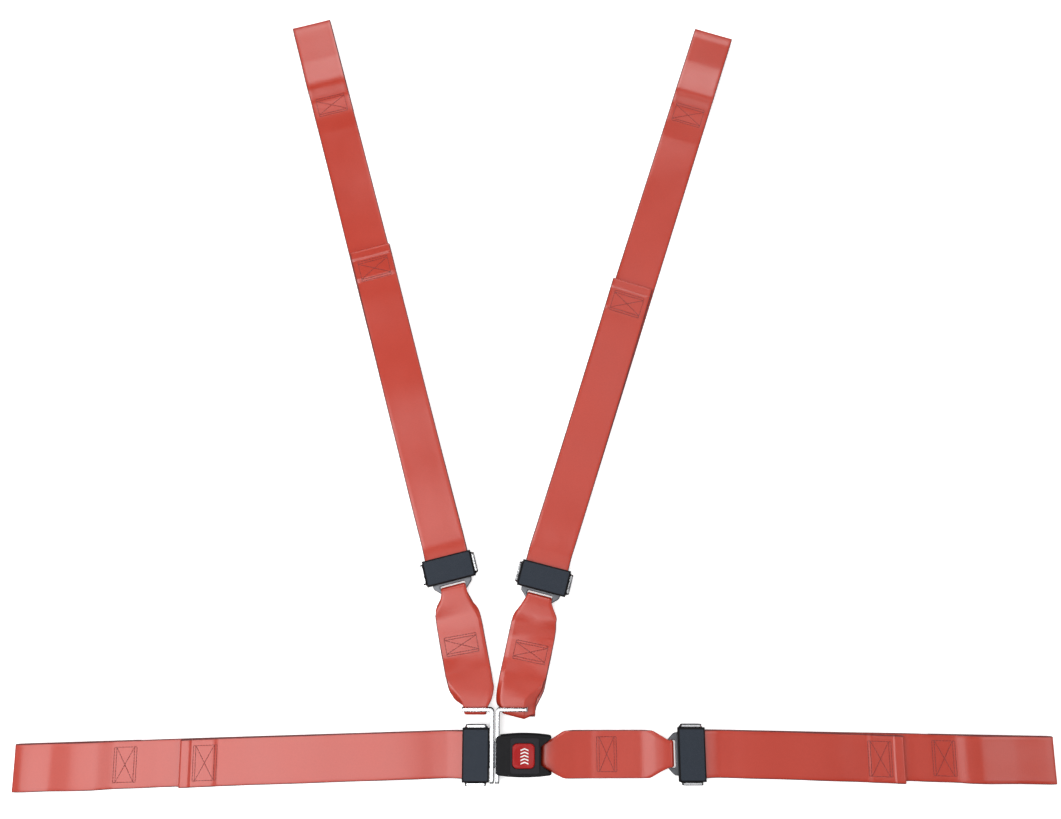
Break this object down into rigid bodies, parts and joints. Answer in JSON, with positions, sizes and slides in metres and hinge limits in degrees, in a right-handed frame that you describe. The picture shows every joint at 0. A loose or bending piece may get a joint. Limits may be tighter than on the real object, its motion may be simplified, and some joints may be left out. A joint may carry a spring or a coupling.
{
  "type": "restraint harness",
  "caption": "Webbing restraint harness: shoulder and lap straps with end loops, slide adjusters, push-button buckle, tongue and slotted hooks.",
  "frame": {"origin": "centre of the buckle's back face, on the plane that the laid-out harness lies on", "axes": "+Z out of the front of the harness, +Y from the lap belt towards the shoulder straps, +X along the lap belt towards the buckle end"},
  "size_m": [1.1586, 0.9645, 0.0203],
  "materials": {
    "webbing": "smooth vinyl-coated orange-red webbing with a soft sheen",
    "black_case": "moulded black plastic, fine spark texture",
    "black_cover": "slate-black moulded plastic, fine grain",
    "red_button": "bright red moulded plastic",
    "bright_steel": "chrome-plated steel, lightly scuffed",
    "plain_steel": "zinc-plated steel"
  },
  "bodies": {
    "buckle": {"buckle_cover_top": "black_case", "buckle_cover_bottom": "black_case", "buckle_frame": "plain_steel", "latch_pin": "plain_steel", "latch_springs": "plain_steel", "button_springs": "plain_steel", "ejector_spring": "plain_steel", "case_screws": "plain_steel"},
    "button": {"release_button": "red_button"},
    "latch": {"latch_plate": "plain_steel"},
    "ejector": {"tongue_ejector": "black_case"},
    "tongue": {"tongue_plate": "bright_steel", "adjuster_cover_lap_left": "black_cover"},
    "lap_left_webbing": {"lap_strap_left": "webbing", "lap_turn_left": "webbing", "friction_bar_lap_left": "plain_steel"},
    "hook_left": {"shoulder_hook_left": "bright_steel"},
    "hook_right": {"shoulder_hook_right": "bright_steel"},
    "shoulder_left_link": {"shoulder_link_strap_left": "webbing"},
    "shoulder_right_link": {"shoulder_link_strap_right": "webbing"},
    "shoulder_left_adjuster": {"adjuster_frame_shoulder_left": "bright_steel", "adjuster_cover_shoulder_left": "black_cover"},
    "shoulder_right_adjuster": {"adjuster_frame_shoulder_right": "bright_steel", "adjuster_cover_shoulder_right": "black_cover"},
    "shoulder_left_webbing": {"shoulder_strap_left": "webbing", "shoulder_turn_left": "webbing", "friction_bar_shoulder_left": "plain_steel"},
    "shoulder_right_webbing": {"shoulder_strap_right": "webbing", "shoulder_turn_right": "webbing", "friction_bar_shoulder_right": "plain_steel"},
    "buckle_link": {"buckle_link_strap": "webbing"},
    "lap_right_adjuster": {"adjuster_frame_lap_right": "bright_steel", "adjuster_cover_lap_right": "black_cover"},
    "lap_right_webbing": {"lap_strap_right": "webbing", "lap_turn_right": "webbing", "friction_bar_lap_right": "plain_steel"}
  },
  "joints": [
    {"name": "button_press", "type": "slide", "parent": "buckle", "child": "button", "axis": [0, 0, -1], "range_m": [0, 0.0025], "stiffness_N_per_m": 400, "deforming": ["button_springs"]},
    {"name": "latch_lift", "type": "hinge", "parent": "buckle", "child": "latch", "pos_m": [0.001, 0, 0.0124], "axis": [0, 1, 0], "range_deg": [0, 15.5]},
    {"name": "tongue_release", "type": "slide", "parent": "buckle", "child": "tongue", "axis": [-1, 0, 0], "range_m": [0, 0.1]},
    {"name": "ejector_push", "type": "slide", "parent": "buckle", "child": "ejector", "axis": [-1, 0, 0], "range_m": [0, 0.009]},
    {"name": "hook_left_slide", "type": "slide", "parent": "tongue", "child": "hook_left", "axis": [1, 0, 0], "range_m": [0, 0.056]},
    {"name": "hook_right_slide", "type": "slide", "parent": "tongue", "child": "hook_right", "axis": [1, 0, 0], "range_m": [0, 0.056]},
    {"name": "shoulder_left_link_swing", "type": "hinge", "parent": "hook_left", "child": "shoulder_left_link", "pos_m": [-0.0547, 0.0483, 0.0052], "axis": [-1, 0, 0], "range_deg": [-30, 0]},
    {"name": "shoulder_right_link_swing", "type": "hinge", "parent": "hook_right", "child": "shoulder_right_link", "pos_m": [-0.0103, 0.0483, 0.0052], "axis": [-1, 0, 0], "range_deg": [-30, 0]},
    {"name": "shoulder_left_adjuster_swing", "type": "hinge", "parent": "shoulder_left_link", "child": "shoulder_left_adjuster", "pos_m": [-0.08111, 0.18015, 0.0052], "axis": [0.9694, 0.2453, 0], "range_deg": [0, 90]},
    {"name": "shoulder_left_webbing_grip", "type": "slide", "parent": "shoulder_left_adjuster", "child": "shoulder_left_webbing", "axis": [-0.2453, 0.9694, 0], "range_m": [0, 0.0024]},
    {"name": "shoulder_right_adjuster_swing", "type": "hinge", "parent": "shoulder_right_link", "child": "shoulder_right_adjuster", "pos_m": [0.01679, 0.16938, 0.0052], "axis": [0.9681, -0.2504, 0], "range_deg": [0, 90]},
    {"name": "shoulder_right_webbing_grip", "type": "slide", "parent": "shoulder_right_adjuster", "child": "shoulder_right_webbing", "axis": [0.2504, 0.9681, 0], "range_m": [0, 0.0024]},
    {"name": "buckle_link_swing", "type": "hinge", "parent": "buckle", "child": "buckle_link", "pos_m": [0.0234, 0, 0.0052], "axis": [0, 1, 0], "range_deg": [-45, 0]},
    {"name": "lap_right_adjuster_swing", "type": "hinge", "parent": "buckle_link", "child": "lap_right_adjuster", "pos_m": [0.1616, 0.0005, 0.0052], "axis": [0, -1, 0], "range_deg": [0, 90]},
    {"name": "lap_right_webbing_grip", "type": "slide", "parent": "lap_right_adjuster", "child": "lap_right_webbing", "axis": [1, 0, 0], "range_m": [0, 0.0024]},
    {"name": "lap_left_webbing_grip", "type": "slide", "parent": "tongue", "child": "lap_left_webbing", "axis": [-1, 0, 0], "range_m": [0, 0.0024]}
  ],
  "couplings": [
    {"joint": "latch_lift", "follows": "button_press", "rad_per_m": 102.63},
    {"joint": "ejector_push", "follows": "tongue_release", "ratio": 0.08},
    {"joint": "hook_left_slide", "follows": "tongue_release", "ratio": 0.55},
    {"joint": "hook_right_slide", "follows": "tongue_release", "ratio": 0.55}
  ]
}
